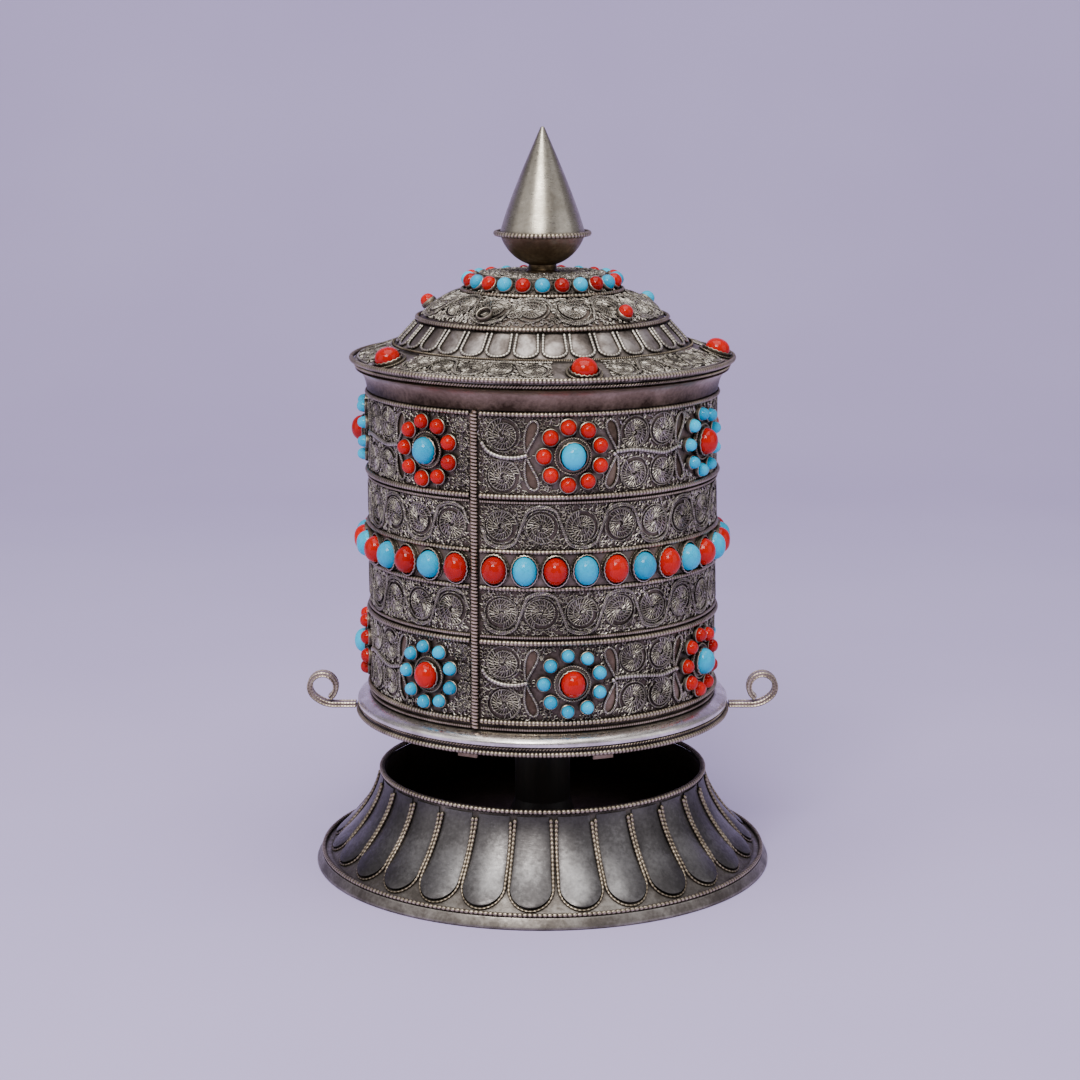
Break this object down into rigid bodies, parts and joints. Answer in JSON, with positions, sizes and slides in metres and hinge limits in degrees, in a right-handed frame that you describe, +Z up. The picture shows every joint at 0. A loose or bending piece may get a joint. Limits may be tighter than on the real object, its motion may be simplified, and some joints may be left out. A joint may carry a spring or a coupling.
{
  "type": "table-top prayer wheel",
  "caption": "Table-top prayer wheel: a filigree drum set with cabochons that spins on a spindle over an open flared lotus stand, with a lift-off domed lid.",
  "frame": {"origin": "centre of the stand's underside, on the spindle's axis, where the stand rests on the table", "axes": "+Z up along the spindle to the finial's tip; -Y is the front and the curl handles lie along X"},
  "size_m": [0.1424, 0.1374, 0.22],
  "materials": {
    "oxidised_silver": "oxidised silver sheet, worn satin",
    "dark_silver": "blackened silver sheet, blue-grey",
    "bright_silver": "worn bright silver, satin",
    "mauve_metal": "brown-mauve tarnish, satin",
    "wire_silver": "twisted silver wire, tarnished with bright crests",
    "filigree": "silver filigree wirework, oxidised",
    "old_brass": "dull silvered brass",
    "brass": "turned brass",
    "steel": "drawn steel",
    "dark_wood": "stained hardwood",
    "coral": "polished coral red cabochons",
    "turquoise": "polished turquoise cabochons",
    "paper": "printed paper roll, blank here",
    "silk": "yellow silk",
    "cord": "red cotton cord"
  },
  "bodies": {
    "stand": {"stand_shell": "dark_silver", "stand_petals": "dark_silver", "stand_petal_wires": "wire_silver", "foot_ring": "oxidised_silver", "foot_bead_wire": "wire_silver", "stand_rim_wire": "wire_silver", "floor_plate": "dark_silver", "spindle": "steel", "bearing_post": "dark_wood", "thrust_washer": "brass", "spindle_washers": "steel", "spindle_nuts": "steel"},
    "drum": {"drum_wall": "oxidised_silver", "drum_floor": "dark_silver", "floor_tabs": "bright_silver", "drum_base_flange": "bright_silver", "base_flange_wires": "wire_silver", "drum_mouth_cove": "mauve_metal", "ring_wires": "wire_silver", "seam_wire": "wire_silver", "upper_flower_filigree": "filigree", "upper_scroll_filigree": "filigree", "stone_band_strip": "dark_silver", "lower_scroll_filigree": "filigree", "lower_flower_filigree": "filigree", "stone_band_bezels": "wire_silver", "stone_band_corals": "coral", "stone_band_turquoises": "turquoise", "rosette_bezels": "wire_silver", "rosette_corals": "coral", "rosette_turquoises": "turquoise", "left_curl_handle": "old_brass", "right_curl_handle": "old_brass", "lower_bush": "brass", "upper_bush": "brass", "core_tube": "old_brass", "mantra_roll": "paper", "roll_wrapper": "silk", "roll_ties": "cord", "bridge_bar": "steel"},
    "lid": {"lid_flange": "oxidised_silver", "lid_skirt": "dark_silver", "lid_edge_wire": "wire_silver", "lid_flange_filigree": "filigree", "lid_petal_collar": "oxidised_silver", "lid_petal_wires": "wire_silver", "lid_ring_wires": "wire_silver", "lid_dome": "dark_silver", "lid_dome_filigree": "filigree", "crown_collar": "oxidised_silver", "crown_disc": "filigree", "lid_bezels": "wire_silver", "lid_corals": "coral", "lid_turquoises": "turquoise", "finial_bowl": "old_brass", "finial_ring": "wire_silver", "finial_cone": "bright_silver", "finial_stud": "steel", "finial_nut": "steel"}
  },
  "joints": [
    {"name": "drum_spin", "type": "hinge", "parent": "stand", "child": "drum", "pos_m": [0, 0, 0.045], "axis": [0, 0, 1], "continuous": true},
    {"name": "lid_lift", "type": "slide", "parent": "drum", "child": "lid", "axis": [0, 0, 1], "range_m": [0, 0.12]}
  ]
}
